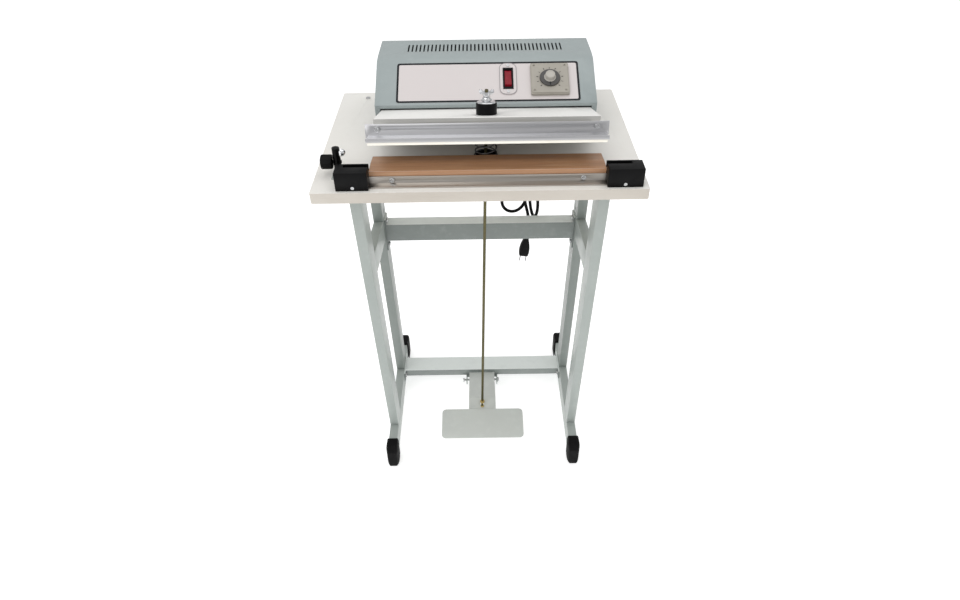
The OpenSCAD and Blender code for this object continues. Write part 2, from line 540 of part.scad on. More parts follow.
module cord_tie() color([0.9, 0.9, 0.88]) difference() {
  union() { zcyl(91.5, 100.5, 684, 688, 16.2); box([89.5, 114.5, 684], [93.5, 120, 688.5]); }
  zcyl(91.5, 100.5, 683, 690, 15);
}
// the plug hangs in line with the cord's end, a little off plumb
module on_plug(d) translate([109.8, 104, 485]) rotate([0, 6.7, 0]) translate([0, 0, -d]) children();
module plug_body() color(black) {
  on_plug(14) rotate_extrude() polygon([[0, 0], [6.4, 0], [4.4, 13], [0, 13]]);
  on_plug(38) hull() {
    translate([0, 0, 24]) linear_extrude(0.5) rrect(12.8, 12, 4);
    translate([0, 0, 1]) linear_extrude(0.5) rrect(22, 16, 6);
  }
  on_plug(60) linear_extrude(23) rrect(24, 17, 6);
}
module plug_pins() color([0.8, 0.8, 0.78]) for (x = [-7, 7]) on_plug(76) difference() {
  box([x - 0.75, -3.2, 0], [x + 0.75, 3.2, 16]);
  xcyl(x - 2, x + 2, 0, 3.5, 1.5);
}

table_top();
top_rails();
front_legs();
rear_legs();
frame_braces();
base_tubes();
upper_crossbar();
lower_crossbar();
crossbar_bolts();
front_foot_caps();
rear_foot_caps();
pedal_bracket();
pedal_hinge_pin();
foot_pedal();
table_screws();
rod_grommet();
pull_rod();
rod_nuts();
wing_nut();
arm_plate();
upper_jaw_angle();
silicone_strip();
upper_jaw_screws();
arm_bush();
bush_ring();
return_spring();
pivot_brackets();
pivot_shaft();
lower_jaw_bar();
ptfe_cloth();
heating_wire();
clamp_angle();
jaw_screws();
left_end_block();
right_end_block();
wire_tensioners();
end_block_screws();
side_bracket();
bracket_post();
bracket_nut();
clamp_knob();
housing_cover();
housing_base();
housing_screws();
label_panel();
switch_plate();
switch_body();
panel_screws();
switch_rocker();
timer_module();
timer_dial();
transformer_core();
transformer_coil();
microswitch();
terminal_block();
strain_relief();
cord_tube();
cord_tie();
plug_body();
plug_pins();
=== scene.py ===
import bpy, bmesh, math, json, random
from mathutils import Vector, Matrix, noise


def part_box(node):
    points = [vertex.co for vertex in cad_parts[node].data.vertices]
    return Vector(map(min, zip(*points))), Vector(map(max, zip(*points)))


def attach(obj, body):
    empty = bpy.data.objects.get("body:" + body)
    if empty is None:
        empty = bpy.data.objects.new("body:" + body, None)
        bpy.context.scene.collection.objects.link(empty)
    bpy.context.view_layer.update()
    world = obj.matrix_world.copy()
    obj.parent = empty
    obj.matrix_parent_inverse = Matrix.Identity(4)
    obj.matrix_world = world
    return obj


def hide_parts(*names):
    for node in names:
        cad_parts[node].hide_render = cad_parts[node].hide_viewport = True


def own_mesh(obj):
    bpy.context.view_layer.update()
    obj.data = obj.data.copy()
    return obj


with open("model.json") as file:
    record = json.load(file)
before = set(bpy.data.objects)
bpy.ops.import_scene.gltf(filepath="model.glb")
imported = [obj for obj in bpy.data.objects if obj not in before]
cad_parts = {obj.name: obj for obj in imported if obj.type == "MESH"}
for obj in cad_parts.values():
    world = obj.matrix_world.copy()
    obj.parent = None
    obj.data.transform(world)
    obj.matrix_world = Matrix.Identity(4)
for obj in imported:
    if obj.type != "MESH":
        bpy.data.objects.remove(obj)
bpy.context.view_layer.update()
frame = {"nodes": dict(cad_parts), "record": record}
N = frame["nodes"]
MM = 0.001
HX = 0.014
OPEN = math.radians(11.5)
PIVOT = Vector((HX, 0.012, 0.838))
PA = math.atan2(45, 81)

# ------------------------------------------------------------------ camera
cam_data = bpy.data.cameras.new("cam")
cam_data.lens = 26.25
cam_data.sensor_width = 36.0
cam_data.clip_start = 0.01
cam = bpy.data.objects.new("cam", cam_data)
bpy.context.scene.collection.objects.link(cam)
cam.location = (-0.002, -1.260, 1.393)
cam.rotation_mode = "XYZ"
view = Matrix.Rotation(math.radians(51), 4, "X") @ Matrix.Rotation(math.radians(-0.85), 4, "Z")
cam.rotation_euler = view.to_euler()
bpy.context.scene.camera = cam

# ------------------------------------------------------------------ materials
def srgb(r, g, b):
    f = lambda c: (c / 255 / 12.92) if c / 255 <= 0.04045 else ((c / 255 + 0.055) / 1.055) ** 2.4
    return (f(r), f(g), f(b), 1.0)

class Mat:
    """A node material with a colour, a roughness and a height, each made of procedural textures in the object's own space."""
    def __init__(self, name, base, rough=0.5, metal=0.0, coat=0.0, spec=0.5):
        self.m = bpy.data.materials.new(name)
        self.m.use_nodes = True
        self.t = self.m.node_tree
        self.b = self.t.nodes["Principled BSDF"]
        self.b.inputs["Base Color"].default_value = base
        self.b.inputs["Roughness"].default_value = rough
        self.b.inputs["Metallic"].default_value = metal
        self.b.inputs["Coat Weight"].default_value = coat
        self.b.inputs["Coat Roughness"].default_value = 0.12
        self.b.inputs["Specular IOR Level"].default_value = spec
        self.m.diffuse_color = base
        self.base, self.rough = base, rough
        self.col = self.height = None
        self.co = self.node("ShaderNodeTexCoord").outputs["Object"]
    def node(self, kind, **kw):
        n = self.t.nodes.new(kind)
        for k, v in kw.items():
            setattr(n, k, v)
        return n
    def link(self, a, b):
        self.t.links.new(a, b)
    def mapped(self, scale=(1, 1, 1), rot=(0, 0, 0)):
        n = self.node("ShaderNodeMapping")
        n.inputs["Scale"].default_value = scale
        n.inputs["Rotation"].default_value = rot
        self.link(self.co, n.inputs["Vector"])
        return n.outputs["Vector"]
    def noise(self, scale, detail=3.0, stretch=(1, 1, 1), rough=0.55):
        n = self.node("ShaderNodeTexNoise")
        n.inputs["Scale"].default_value = scale
        n.inputs["Detail"].default_value = detail
        n.inputs["Roughness"].default_value = rough
        self.link(self.mapped(stretch), n.inputs["Vector"])
        return n.outputs["Fac"]
    def ramp(self, fac, lo, hi, a=0.0, b=1.0):
        n = self.node("ShaderNodeMapRange")
        n.inputs["From Min"].default_value = lo
        n.inputs["From Max"].default_value = hi
        n.inputs["To Min"].default_value = a
        n.inputs["To Max"].default_value = b
        self.link(fac, n.inputs["Value"])
        return n.outputs["Result"]
    def mix(self, fac, other):
        """Blends the colour so far towards another."""
        n = self.node("ShaderNodeMix", data_type="RGBA")
        if self.col is None:
            n.inputs["A"].default_value = self.base
        else:
            self.link(self.col, n.inputs["A"])
        n.inputs["B"].default_value = other
        if isinstance(fac, (int, float)):
            n.inputs["Factor"].default_value = fac
        else:
            self.link(fac, n.inputs["Factor"])
        self.col = n.outputs["Result"]
        return self
    def vary(self, scale, other, amount=0.5, lo=0.35, hi=0.7, stretch=(1, 1, 1), detail=4):
        return self.mix(self.ramp(self.noise(scale, detail, stretch), lo, hi, 0, amount), other)
    def rvary(self, scale, a, b, stretch=(1, 1, 1)):
        self.link(self.ramp(self.noise(scale, 4, stretch), 0.3, 0.7, a, b), self.b.inputs["Roughness"])
        return self
    def bump(self, fac, strength, dist):
        n = self.node("ShaderNodeBump")
        n.inputs["Strength"].default_value = strength
        n.inputs["Distance"].default_value = dist
        self.link(fac, n.inputs["Height"])
        if self.height is not None:
            self.link(self.height, n.inputs["Normal"])
        self.height = n.outputs["Normal"]
        return self
    def done(self):
        if self.col is not None:
            self.link(self.col, self.b.inputs["Base Color"])
        if self.height is not None:
            self.link(self.height, self.b.inputs["Normal"])
        return self.m

def paint(name, rgb, dark, grain=900, rough=(0.36, 0.5)):
    m = Mat(name, srgb(*rgb), 0.42, coat=0.15)
    m.vary(7, srgb(*dark), 0.45)
    m.vary(60, srgb(*[min(255, c + 12) for c in rgb]), 0.3, 0.5, 0.75)
    m.rvary(35, *rough)
    m.bump(m.noise(grain, 2), 0.12, 0.0004)
    m.bump(m.noise(26, 2), 0.05, 0.001)
    return m.done()

def metal(name, rgb, rough=(0.25, 0.4), stretch=(1, 1, 1), grain=1200, depth=0.0002, dull=None):
    m = Mat(name, srgb(*rgb), 0.3, 1.0)
    m.vary(30, srgb(*[int(c * 0.82) for c in rgb]), 0.5, stretch=stretch)
    if dull:
        m.vary(90, srgb(*dull), 0.4, 0.5, 0.75)
    m.rvary(grain / 4, *rough, stretch=stretch)
    m.bump(m.noise(grain, 2, stretch), 0.2, depth)
    return m.done()

def plastic(name, rgb, rough=(0.35, 0.5), grain=1500, strength=0.12, light=None, coat=0.0):
    m = Mat(name, srgb(*rgb), 0.4, coat=coat)
    m.vary(18, srgb(*[min(255, c + 14) for c in rgb]), 0.5)
    m.vary(180, srgb(*(light or [min(255, c + 28) for c in rgb])), 0.25, 0.6, 0.8)
    m.rvary(60, *rough)
    m.bump(m.noise(grain, 2), strength, 0.0003)
    return m.done()

def dark(name, rgb, rough, grain=1500, strength=0.12):
    """A black part: little light comes back from its surface."""
    m = Mat(name, srgb(*rgb), 0.45)
    m.vary(18, srgb(*[c + 4 for c in rgb]), 0.5)
    m.vary(180, srgb(*[c + 9 for c in rgb]), 0.25, 0.6, 0.8)
    m.rvary(60, *rough)
    m.bump(m.noise(grain, 2), strength, 0.0003)
    m.b.inputs["Specular IOR Level"].default_value = 0.14
    return m.done()

# Painted light: a mask of the up-facing faces, so that tops get a lighter colour and sides and fronts a darker painted
# shade.
def top_lit_mask(m):
    g = m.node("ShaderNodeNewGeometry")
    s = m.node("ShaderNodeSeparateXYZ")
    m.link(g.outputs["True Normal"], s.inputs[0])
    return m.ramp(s.outputs["Z"], 0.4, 0.6)

# Crossbar paint with painted light: the base colour is a painted shade for the fronts and sides, and the up-facing tops
# are painted lighter.
def lit_and_shaded_rail_paint(name, rgb, low):
    m = Mat(name, srgb(*rgb), 0.42, coat=0.1)
    m.vary(3, srgb(*low), 0.6)
    m.mix(top_lit_mask(m), srgb(226, 232, 229))
    m.vary(60, srgb(186, 192, 189), 0.12, 0.5, 0.75)
    m.rvary(35, 0.36, 0.5)
    m.bump(m.noise(900, 2), 0.12, 0.0004)
    return m.done()

# Arm plate paint with painted light: its sides and edges get a darker painted shade, its up-facing top a lighter
# colour.
def white_paint():
    m = Mat("white_paint", srgb(176, 175, 171), 0.42, coat=0.1)
    m.mix(top_lit_mask(m), srgb(234, 233, 230))
    m.vary(7, srgb(222, 221, 217), 0.3)
    m.rvary(35, 0.36, 0.5)
    m.bump(m.noise(900, 2), 0.12, 0.0004)
    return m.done()

# Jaw aluminium with painted light: up-facing faces such as the flange are painted lighter than the web.
def jaw_metal_with_painted_light():
    m = Mat("jaw_aluminium", srgb(186, 186, 188), 0.3, 1.0)
    m.vary(30, srgb(160, 160, 162), 0.4, stretch=(0.02, 1, 1))
    m.mix(top_lit_mask(m), srgb(228, 228, 230))
    m.rvary(225, 0.3, 0.45, stretch=(0.02, 1, 1))
    m.bump(m.noise(900, 2, (0.02, 1, 1)), 0.2, 0.0002)
    return m.done()

def film():
    m = Mat("label_film", srgb(206, 199, 198), 0.3, coat=0.15)
    m.vary(5, srgb(210, 203, 202), 0.5)
    m.vary(260, srgb(202, 195, 194), 0.15, 0.6, 0.8)
    m.rvary(12, 0.27, 0.32)
    m.bump(m.noise(500, 2), 0.02, 0.0002)
    return m.done()

def board():
    m = Mat("laminate_board", srgb(198, 191, 181), 0.45, coat=0.1)
    m.vary(14, srgb(184, 175, 163), 0.5, stretch=(0.4, 0.4, 3))
    # Painted light: the up-facing top of the board is painted lighter than its edges, which keep a darker painted
    # shade.
    m.mix(top_lit_mask(m), srgb(236, 234, 229))
    m.vary(5, srgb(222, 218, 210), 0.35)
    m.vary(420, srgb(205, 200, 192), 0.18, 0.6, 0.8)
    m.rvary(40, 0.3, 0.46)
    m.bump(m.noise(700, 3), 0.08, 0.0003)
    return m.done()

def cloth_mat():
    m = Mat("ptfe_cloth", srgb(182, 136, 100), 0.42, coat=0.2)
    m.vary(55, srgb(142, 104, 74), 0.6, 0.4, 0.7, stretch=(0.05, 1, 1))
    m.vary(210, srgb(214, 176, 138), 0.4, 0.5, 0.75, stretch=(0.05, 1, 1))
    w = m.node("ShaderNodeTexWave", wave_type="BANDS", bands_direction="X")
    w.inputs["Scale"].default_value = 420
    v = m.node("ShaderNodeTexWave", wave_type="BANDS", bands_direction="Y")
    v.inputs["Scale"].default_value = 420
    for n in (w, v):
        m.link(m.co, n.inputs["Vector"])
    a = m.node("ShaderNodeMath", operation="MULTIPLY")
    m.link(w.outputs["Fac"], a.inputs[0]); m.link(v.outputs["Fac"], a.inputs[1])
    m.mix(m.ramp(a.outputs[0], 0.0, 1.0, 0.0, 0.25), srgb(120, 86, 60))
    m.rvary(80, 0.3, 0.5, stretch=(0.1, 1, 1))
    m.bump(a.outputs[0], 0.25, 0.0002)
    return m.done()

def switch_mat():
    m = Mat("rocker_red", srgb(124, 14, 32), 0.42, coat=0.0, spec=0.25)
    m.vary(140, srgb(96, 6, 16), 0.6)
    # The pale pink patches are painted highlights on the red rocker.
    m.vary(60, srgb(214, 84, 122), 0.4, 0.55, 0.8)
    m.bump(m.noise(600, 2), 0.05, 0.0002)
    m.b.inputs["Emission Color"].default_value = srgb(200, 20, 40)
    m.b.inputs["Emission Strength"].default_value = 0.08
    return m.done()

M = {
    "board": board(),
    "frame": paint("frame_paint", (164, 171, 167), (152, 160, 156)),
    # Both crossbar paints are darker than the frame paint: painted shade on their fronts; the upper crossbar, under the
    # table, gets a darker painted shade still.
    "rail": lit_and_shaded_rail_paint("lit_and_shaded_rail_paint", (141, 148, 145), (124, 131, 129)),
    "rail_u": lit_and_shaded_rail_paint("upper_rail_paint", (127, 134, 131), (110, 117, 115)),
    "pedal": paint("pedal_paint", (203, 207, 202), (192, 197, 192), 600, (0.3, 0.5)),
    "cover": paint("cover_paint", (155, 164, 164), (143, 154, 155), 1300),
    "white": white_paint(),
    "alu": metal("aluminium", (198, 193, 187), (0.28, 0.42), (0.02, 1, 1), 900),
    "jaw": jaw_metal_with_painted_light(),
    # The rear legs get a darker copy of the frame paint: painted shade for their place under the table.
    "rear": paint("rear_legs_painted_shade", (130, 137, 133), (119, 127, 123)),
    "zinc": metal("zinc_plate", (202, 203, 204), (0.2, 0.34), grain=600),
    "bright": metal("bright_plate", (225, 226, 228), (0.08, 0.16), grain=300, depth=0.00005),
    "rod": metal("olive_rod", (104, 99, 72), (0.34, 0.5), (1, 1, 0.05), 700, dull=(66, 62, 44)),
    "brass": metal("dull_brass", (206, 180, 116), (0.25, 0.4)),
    "spring": metal("spring_wire", (120, 120, 122), (0.25, 0.4)),
    "black": dark("black_plastic", (2, 2, 3), (0.34, 0.5)),
    "rubber": dark("black_rubber", (7, 7, 8), (0.55, 0.75), 900, 0.25),
    "silicone": plastic("silicone", (254, 249, 236), (0.4, 0.55), 800, 0.1, (255, 252, 244)),
    "cloth": cloth_mat(),
    "grip": plastic("dial_grip", (176, 172, 164), (0.3, 0.42), 1100),
    "label": film(),
    "outline": plastic("outline_ink", (140, 136, 138), (0.3, 0.4), 500, 0.03),
    "ink": dark("label_ink", (24, 26, 30), (0.25, 0.35), 500, 0.03),
    "red": switch_mat(),
    "timer": plastic("timer_plastic", (158, 153, 143), (0.35, 0.5), 1100),
    "dial": plastic("dial_plastic", (60, 58, 56), (0.3, 0.42), 1100),
    "nylon": plastic("white_nylon", (226, 224, 216), (0.35, 0.5)),
    "copper": metal("copper_wire", (190, 118, 74), (0.3, 0.45), (1, 1, 30), 400),
    "core": metal("core_steel", (92, 92, 96), (0.4, 0.6), (1, 40, 1), 500),
    "cord": dark("cord_sheath", (8, 8, 9), (0.45, 0.6), 700, 0.15),
    "nichrome": metal("nichrome", (160, 150, 136), (0.3, 0.45)),
}
USE = {
    "board": "table_top",
    "rear": "rear_legs", "jaw": "upper_jaw_angle",
    "frame": "top_rails front_legs frame_braces base_tubes pedal_bracket side_bracket",
    "rail": "lower_crossbar", "rail_u": "upper_crossbar",
    "pedal": "foot_pedal",
    "cover": "housing_cover",
    "white": "arm_plate",
    "alu": "clamp_angle lower_jaw_bar",
    "zinc": "crossbar_bolts pedal_hinge_pin table_screws upper_jaw_screws jaw_screws end_block_screws housing_screws panel_screws pivot_brackets pivot_shaft housing_base",
    "bright": "wing_nut bush_ring bracket_nut",
    "rod": "pull_rod", "brass": "rod_nuts", "spring": "return_spring plug_pins",
    "black": "arm_bush left_end_block right_end_block bracket_post clamp_knob switch_body microswitch",
    "rubber": "front_foot_caps rear_foot_caps rod_grommet",
    "silicone": "silicone_strip", "cloth": "ptfe_cloth", "label": "label_panel switch_plate",
    "red": "switch_rocker", "timer": "timer_module", "dial": "timer_dial",
    "nylon": "terminal_block cord_tie", "copper": "transformer_coil wire_tensioners", "core": "transformer_core",
    "cord": "strain_relief cord_tube plug_body", "nichrome": "heating_wire",
}
NODE_MAT = {n: M[k] for k, v in USE.items() for n in v.split()}
for n, o in N.items():
    o.data.materials.clear()
    o.data.materials.append(NODE_MAT[n])
BODY = {n: b for b, ns in frame["record"]["behaviour"]["bodies"].items() for n in ns}

# ------------------------------------------------------------------ piece helpers
def put(o, body, mat=None):
    if o.name not in bpy.context.scene.collection.objects:
        bpy.context.scene.collection.objects.link(o)
    if mat is not None:
        o.data.materials.clear()
        o.data.materials.append(mat)
    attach(o, body)
    return o

def smooth(me, angle=40):
    me.shade_smooth()
    try:
        me.set_sharp_from_angle(angle=math.radians(angle))
    except AttributeError:
        pass

def from_bm(name, bm, body, mat, angle=40):
    bmesh.ops.recalc_face_normals(bm, faces=bm.faces)
    me = bpy.data.meshes.new(name)
    bm.to_mesh(me)
    bm.free()
    smooth(me, angle)
    return put(bpy.data.objects.new(name, me), body, mat)

def apply_mods(o):
    dg = bpy.context.evaluated_depsgraph_get()
    dg.update()
    me = bpy.data.meshes.new_from_object(o.evaluated_get(dg))
    o.modifiers.clear()
    o.data = me
    return o

def eased(node, width, segments=2, angle=30, name=None, mat=None):
    """A copy of a CAD node with its hard edges rounded, which stands for it."""
    src = N[node]
    bm = bmesh.new()
    bm.from_mesh(src.data)
    bmesh.ops.remove_doubles(bm, verts=bm.verts, dist=1e-6)
    bmesh.ops.dissolve_limit(bm, angle_limit=math.radians(0.6), verts=bm.verts, edges=bm.edges)
    me = bpy.data.meshes.new(name or node + "_eased")
    bm.to_mesh(me)
    bm.free()
    o = bpy.data.objects.new(name or node + "_eased", me)
    put(o, BODY[node], mat or NODE_MAT[node])
    b = o.modifiers.new("ease", "BEVEL")
    b.width = width
    b.segments = segments
    b.limit_method = "ANGLE"
    b.angle_limit = math.radians(angle)
    b.harden_normals = False
    b.use_clamp_overlap = True
    apply_mods(o)
    smooth(o.data, 35)
    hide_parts(node)
    return o

def revolve(name, profile, origin, axis, body, mat, n=48, wobble=None):
    """A solid of revolution. profile is a list of (radius, height) along axis from origin, in metres."""
    q = Vector((0, 0, 1)).rotation_difference(Vector(axis).normalized())
    bm = bmesh.new()
    rows = []
    for r, h in profile:
        if r < 1e-7:
            rows.append([bm.verts.new(Vector(origin) + q @ Vector((0, 0, h)))])
        else:
            rows.append([bm.verts.new(Vector(origin) + q @ Vector((
                (r + (wobble(k, h) if wobble else 0)) * math.cos(2 * math.pi * k / n),
                (r + (wobble(k, h) if wobble else 0)) * math.sin(2 * math.pi * k / n), h))) for k in range(n)])
    for a, b in zip(rows, rows[1:]):
        for k in range(n):
            k2 = (k + 1) % n
            vs = [a[k % len(a)], a[k2 % len(a)], b[k2 % len(b)], b[k % len(b)]]
            vs = list(dict.fromkeys(vs))
            if len(vs) > 2:
                bm.faces.new(vs)
    for row in (rows[0], rows[-1]):
        if len(row) > 2:
            bm.faces.new(row)
    return from_bm(name, bm, body, mat)

def panel_point(x, y, z):
    """A point given across, up and out from the lower edge of the housing's sloping front, in millimetres."""
    return Vector((x, -50 + y * math.cos(PA) - z * math.sin(PA), 870 + y * math.sin(PA) + z * math.cos(PA))) * MM

def plate_on_panel(name, outline, z0, z1, body, mat, hole=None):
    bm = bmesh.new()
    n = len(outline)
    lo = [bm.verts.new(panel_point(x, y, z0)) for x, y in outline]
    hi = [bm.verts.new(panel_point(x, y, z1)) for x, y in outline]
    if hole:
        hl = [bm.verts.new(panel_point(x, y, z0)) for x, y in hole]
        hh = [bm.verts.new(panel_point(x, y, z1)) for x, y in hole]
    for k in range(n):
        j = (k + 1) % n
        bm.faces.new([lo[k], lo[j], hi[j], hi[k]])
        if hole:
            bm.faces.new([hl[j], hl[k], hh[k], hh[j]])
            bm.faces.new([hi[k], hi[j], hh[j], hh[k]])
            bm.faces.new([lo[j], lo[k], hl[k], hl[j]])
    if not hole:
        bm.faces.new(hi)
        bm.faces.new(lo[::-1])
    return from_bm(name, bm, body, mat)

def rrect(cx, cy, w, h, r, n=8):
    out = []
    for sx, sy, a0 in ((1, 1, 0), (-1, 1, 90), (-1, -1, 180), (1, -1, 270)):
        for k in range(n + 1):
            a = math.radians(a0 + 90 * k / n)
            out.append((cx + sx * (w / 2 - r) + r * math.cos(a), cy + sy * (h / 2 - r) + r * math.sin(a)))
    return out

# ------------------------------------------------------------------ mains cord
ROUTE = [(60, 100, 752), (60, 100, 740), (61.5, 99.7, 727), (66.5, 99, 714), (74, 98.2, 702), (80, 97.7, 691),
  (81.5, 97.5, 678), (79, 97.5, 660), (71, 98, 633), (60, 98, 608), (52.5, 98, 590), (50.5, 98, 575),
  (54, 98, 562.5), (62.5, 98, 553.5), (74, 98, 550.5), (86, 98, 554), (96, 98, 564), (103, 98, 579), (105, 98, 598),
  (102, 98, 624), (96.5, 97.5, 651), (92, 95.5, 674), (91, 93.5, 689), (91.7, 87.7, 704), (92.5, 80.7, 718),
  (93.5, 77.7, 733), (94.5, 82.6, 747.3), (95.2, 92.2, 754.4), (96, 104, 755.4), (96.7, 114.7, 750.4),
  (97.2, 121.2, 740.7), (97.5, 122.3, 729), (97.5, 118.3, 716.5), (97.5, 111.3, 704), (97.5, 106.5, 689),
  (99, 109, 667), (103.5, 115, 640), (109.5, 122, 611), (113.5, 127, 584), (115.3, 128, 563), (117, 124, 547),
  (119.5, 114, 537.5), (122.5, 101.8, 535.8), (126, 90.5, 542.5), (128.5, 84.2, 556), (129.7, 83.2, 572),
  (128.7, 84.7, 590), (124, 88.2, 615), (115, 92.5, 643), (106, 96, 668), (101.5, 97.5, 688), (105, 98, 703),
  (112, 98.5, 717), (117.3, 99, 730.5), (118.5, 99.5, 745), (114.3, 100.3, 759), (104, 101.8, 767.5),
  (91.5, 103.2, 768.8), (79.7, 104.2, 762.4), (73, 105, 751), (72.8, 105.4, 737.5), (77.5, 105.6, 724),
  (83.5, 105.6, 712), (87.3, 105.6, 700), (88.5, 105.8, 687), (89.5, 107.5, 664), (92, 110.5, 636), (96, 112.5, 607),
  (100.5, 112.5, 580), (105.3, 112.5, 557), (110, 112, 537), (112.8, 110.2, 519), (112.5, 107, 502),
  (110.8, 104.5, 492), (109.8, 104, 485), (109.1, 104, 479)]

def catmull(p, n):
    p = [Vector(q) for q in p]
    out = []
    for i in range(len(p) - 1):
        a, b, c, d = p[max(i - 1, 0)], p[i], p[i + 1], p[min(i + 2, len(p) - 1)]
        for k in range(n):
            t = k / n
            out.append(0.5 * (2 * b + (c - a) * t + (2 * a - 5 * b + 4 * c - d) * t * t + (3 * b - a - 3 * c + d) * t ** 3))
    return out + [p[-1]]

def mesh_tube(name, pts, radius, sides, body, mat, taper=None):
    bm = bmesh.new()
    u = Vector((1, 0, 0))
    rows = []
    for i, p in enumerate(pts):
        t = (pts[min(i + 1, len(pts) - 1)] - pts[max(i - 1, 0)]).normalized()
        u = (u - u.dot(t) * t).normalized()
        w = t.cross(u)
        r = radius * (taper(i / (len(pts) - 1)) if taper else 1)
        rows.append([bm.verts.new(p + r * (math.cos(2 * math.pi * k / sides) * u + math.sin(2 * math.pi * k / sides) * w)) for k in range(sides)])
    for a, b in zip(rows, rows[1:]):
        for k in range(sides):
            bm.faces.new([a[k], a[(k + 1) % sides], b[(k + 1) % sides], b[k]])
    bm.faces.new(rows[0][::-1])
    bm.faces.new(rows[-1])
    return from_bm(name, bm, body, mat, 60)

line = [v * MM for v in catmull(ROUTE, 6)]
lead = mesh_tube("mains_lead", line, 0.0035, 16, "root", M["cord"])
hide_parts("cord_tube")

# moulded plug: rounded rectangles lofted along the cord's end, with a ribbed sleeve where the cord enters
def on_plug(x, y, d):
    a = math.radians(6.7)
    return Vector((0.1098 + x * math.cos(a) - d * math.sin(a), 0.104 + y, 0.485 - x * math.sin(a) - d * math.cos(a)))
bm = bmesh.new()
sections = [(1.2, 8.4, 8.4)]
for k in range(4):
    d = 2.0 + k * 3.0
    sections += [(d, 9.0 + k * 0.9, 8.8 + k * 0.7), (d + 0.5, 10.2 + k * 0.9, 9.8 + k * 0.7), (d + 1.6, 10.2 + k * 0.9, 9.8 + k * 0.7), (d + 2.1, 9.2 + k * 0.9, 9.0 + k * 0.7)]
sections += [(15.5, 13.2, 12.0), (20, 15.6, 12.9), (26, 18.8, 14.2), (32, 21.4, 15.3), (38, 23.2, 16.2), (44, 23.9, 16.8), (50, 23.8, 16.8),
             (55, 22.8, 16.4), (58, 21.6, 15.6), (59.4, 20.2, 14.4), (59.9, 18.4, 12.8)]
rows = []
for d, w, h in sections:
    e = 0.42 if d > 14 else 0.75
    rows.append([bm.verts.new(on_plug(math.copysign(abs(math.cos(t)) ** e, math.cos(t)) * w / 2000,
                                      math.copysign(abs(math.sin(t)) ** e, math.sin(t)) * h / 2000, d / 1000))
                 for t in [2 * math.pi * (k + 0.5) / 40 for k in range(40)]])
for a, b in zip(rows, rows[1:]):
    for k in range(40):
        bm.faces.new([a[k], a[(k + 1) % 40], b[(k + 1) % 40], b[k]])
bm.faces.new(rows[0][::-1])
bm.faces.new(rows[-1])
bmesh.ops.recalc_face_normals(bm, faces=bm.faces)
plug = from_bm("mains_plug", bm, "root", M["cord"])
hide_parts("plug_body")
relief_rings = [(0.0, 0.0), (0.0042, 0.0)]
for k in range(6):
    z = 0.001 + k * 0.0037
    r = 0.0043 + 0.0030 * (z / 0.026)
    relief_rings += [(r, z), (r + 0.0007, z + 0.0006), (r + 0.0007, z + 0.0020), (r, z + 0.0026)]
relief_rings += [(0.0072, 0.0238), (0.0116, 0.0241), (0.012, 0.0246), (0.012, 0.0276), (0.0088, 0.028), (0.0088, 0.050), (0.0, 0.050)]
relief = revolve("strain_relief_boot", relief_rings, (0.060, 0.100, 0.752), (0, 0, 1), "root", M["cord"], 32)
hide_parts("strain_relief")

# ------------------------------------------------------------------ rounded copies of the parts in view
for node, w, seg in (
    ("table_top", 0.0016, 3), ("front_legs", 0.0022, 3), ("rear_legs", 0.0022, 3), ("frame_braces", 0.0020, 3),
    ("base_tubes", 0.0022, 3), ("upper_crossbar", 0.0018, 3), ("lower_crossbar", 0.0018, 3), ("foot_pedal", 0.0007, 2),
    ("left_end_block", 0.0013, 3), ("right_end_block", 0.0013, 3), ("upper_jaw_angle", 0.0005, 2),
    ("clamp_angle", 0.0005, 2), ("silicone_strip", 0.0012, 3), ("arm_plate", 0.0005, 2), ("arm_bush", 0.0012, 3),
    ("housing_cover", 0.0004, 2), ("timer_module", 0.0010, 3), ("switch_rocker", 0.0005, 2),
    ("switch_plate", 0.0005, 2), ("bracket_post", 0.0010, 3), ("pedal_bracket", 0.0005, 2),
    ("side_bracket", 0.0005, 2), ("bracket_nut", 0.0004, 2),
    ("jaw_screws", 0.0003, 2), ("upper_jaw_screws", 0.0003, 2), ("end_block_screws", 0.0003, 2), ("table_screws", 0.0003, 2),
    ("crossbar_bolts", 0.0005, 2), ("pedal_hinge_pin", 0.0005, 2), ("rod_grommet", 0.0008, 2), ("panel_screws", 0.0002, 2),
):
    eased(node, w, seg)

